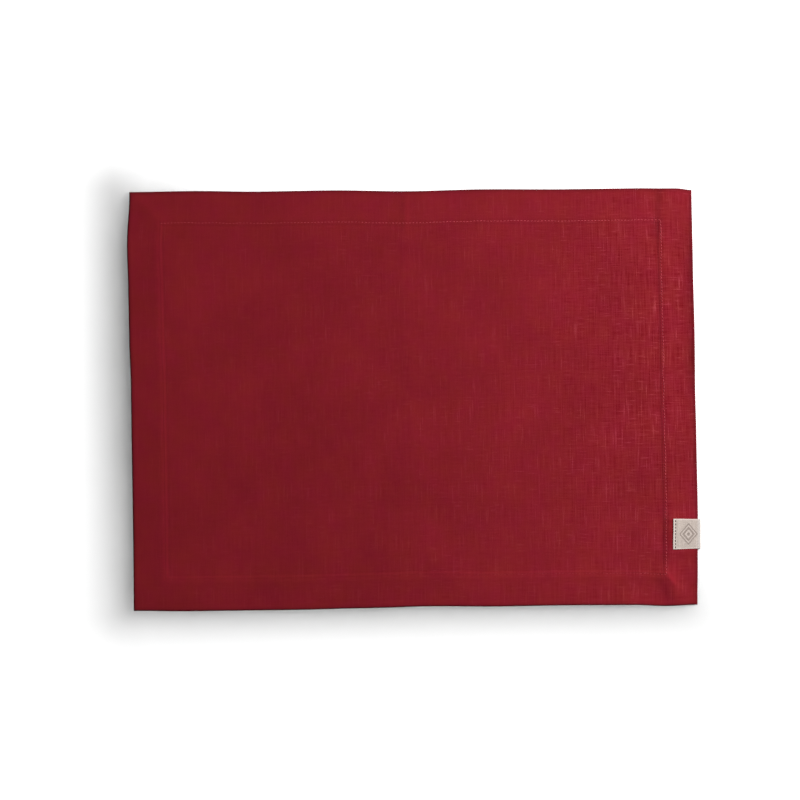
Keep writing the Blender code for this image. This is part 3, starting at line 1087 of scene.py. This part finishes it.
def natural_tape():
    material, tree, shader = new_material("natural_tape")
    cut = uv_of(tree, "flat_cut")
    threads = threads_in(tree, cut, **TAPE_THREADS)
    along, across, _ = split(tree, cut)
    selvedge = ranged(tree, calc(tree, "ABSOLUTE", across), *AT_SELVEDGE)
    end, fold = (
        ranged(tree, calc(
            tree, "ABSOLUTE", calc(tree, "SUBTRACT", along, run_on_top(x))), *reach)
        for x, reach in ((PALE_X, AT_END), (FOLD_TONE_X, AT_FOLD)))
    fleck = ranged(tree, noise_at(tree, cut, FLECK_SCALE, detail=1.0), *FLECKS)
    steps = steps_away(tree, cut, run_on_top(MOTIF_X))
    dark, light = lozenges(tree, steps, DARK_RINGS), lozenges(tree, steps, LIGHT_RINGS)
    worn = ranged(tree, threads["Tone"], *MOTIF_WORN)
    colour = mixed(tree, ranged(tree, threads["Tone"], *TAPE_TONES), TAPE_DEEP, TAPE_FACE)
    colour = layered(tree, colour, (
        (threads["Slub"], SLUB_SHARE, TAPE_PALE), (selvedge, PALE_SHARE, TAPE_PALE),
        (end, PALE_SHARE, TAPE_PALE), (fold, FOLD_SHARE, TAPE_AT_FOLD),
        (fleck, FLECK_SHARE, MOTIF_TAUPE), (dark, worn, MOTIF_TAUPE),
        (light, LIGHT_SHARE, TAPE_PALE)))
    feed_named(
        shader, Base_Color=colour, Roughness=ranged(tree, threads["Tone"], *TAPE_ROUGH))
    raised = calc(tree, "MULTIPLY_ADD", dark, MOTIF_HIGHER, threads["Height"])
    bumped(tree, shader, raised, *TAPE_BUMP)
    set_cloth_gloss(shader, TAPE_GLEAM, TAPE_SHEEN)
    return material


label.data.materials.append(natural_tape())


# %% [markdown]
# ## The white table
# The shade beside the mat is broad and soft, though the mat is only a millimetre thick. Plain
# white paint would show a narrow line of shade. Milky plastic lets the light travel inside it,
# so it is dim for some way round anything that covers it. It is used here only where that
# shade lies, beside the mat on the side away from the lamp, and less far out at the front.
# There its colour is painted a little greyer than the paint, as painted shade, most at the
# left, and it fades into plain paint.
# The paint is graded as a studio's ground is, a little greyer toward the lamp, so that all of
# it comes out the same white. The far ground, which a studio lights with lamps of its own,
# gives off that light itself; lying flat with the mat, it puts none on it.

# %% Material of the table
MILKY_REACH = 0.20
PAINTED_SHADE_AT_LEFT, PAINTED_SHADE_ELSEWHERE = (0.17, 0.30), 0.08
LEFT_FRONT_TO_BACK, LEFT_TO_ELSEWHERE = (-185 * MM, 40 * MM), (-265 * MM, -235 * MM)
NEAR_MAT, FRONT_SHORTER = (5 * MM, 60 * MM, 1.0, 0.0), 1.25
OFF_LAMP, SLANT = (-40 * MM, 110 * MM, 1.0, 0.0), 1.3
GRADED, GLOWS = (-0.38, 0.24), (0.12, 0.60, 0.0, WALLS_SEEN)
GRADE_MIDDLE, GRADE_X, GRADE_Y, GRADE_TWIST = 0.652, -0.52, -0.06, 0.60
PAINT_ROUGH, PAINT_GLOSS = 0.9, 0.1


def milky_white():
    material, tree, shader = new_material("milky_white")
    x, y, _ = split(tree, add_node(tree, "ShaderNodeTexCoord").outputs["Object"])
    beyond_x, beyond_y = (
        calc(tree, "MAXIMUM", calc(tree, "SUBTRACT", calc(tree, "ABSOLUTE", place), half), 0.0)
        for place, half in ((x, HALF_X), (y, HALF_Y)))
    beyond_y = calc(tree, "MULTIPLY", beyond_y, FRONT_SHORTER)
    from_mat = calc(tree, "SQRT", calc(
        tree, "MULTIPLY_ADD", beyond_x, beyond_x, calc(tree, "MULTIPLY", beyond_y, beyond_y)))
    toward_back = calc(tree, "MULTIPLY_ADD", y, SLANT, x)
    milky = calc(
        tree, "MULTIPLY", ranged(tree, from_mat, *NEAR_MAT, smooth=True),
        ranged(tree, toward_back, *OFF_LAMP, smooth=True))
    near_x, near_y = (ranged(tree, place, *GRADED, *GRADED) for place in (x, y))
    slope = calc(tree, "MULTIPLY_ADD", near_y, GRADE_TWIST, GRADE_X)
    level = calc(tree, "MULTIPLY_ADD", near_y, GRADE_Y, GRADE_MIDDLE)
    graded = calc(tree, "MULTIPLY_ADD", near_x, slope, level)
    # Painted shade: the milky ring beside the mat is painted greyer, most at the left.
    shade_at_left = ranged(tree, y, *LEFT_FRONT_TO_BACK, *PAINTED_SHADE_AT_LEFT)
    painted_shade = ranged(tree, x, *LEFT_TO_ELSEWHERE, shade_at_left, PAINTED_SHADE_ELSEWHERE)
    after_painted_shade = calc(tree, "SUBTRACT", 1.0, calc(tree, "MULTIPLY", milky, painted_shade))
    feed_named(
        shader, Base_Color=calc(tree, "MULTIPLY", graded, after_painted_shade), Roughness=PAINT_ROUGH,
        Specular_IOR_Level=PAINT_GLOSS, Subsurface_Weight=milky, Subsurface_Radius=(1, 1, 1),
        Subsurface_Scale=MILKY_REACH, Emission_Strength=1.0,
        Emission_Color=ranged(tree, from_mat, *GLOWS, smooth=True))
    material.cycles.emission_sampling = "NONE"
    return material


table.data.materials.append(milky_white())


# %% [markdown]
# ## Handing the pieces to the frame
# Every piece rides on the mat's one body, and the two sheets stand in for their solids, which
# are hidden.

# %% Riding and replacing
for piece in (cloth, upper_stitches, lower_stitches, label, label_stitches, label_stitches_low):
    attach(piece, "root")
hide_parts("cloth")
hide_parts("label")
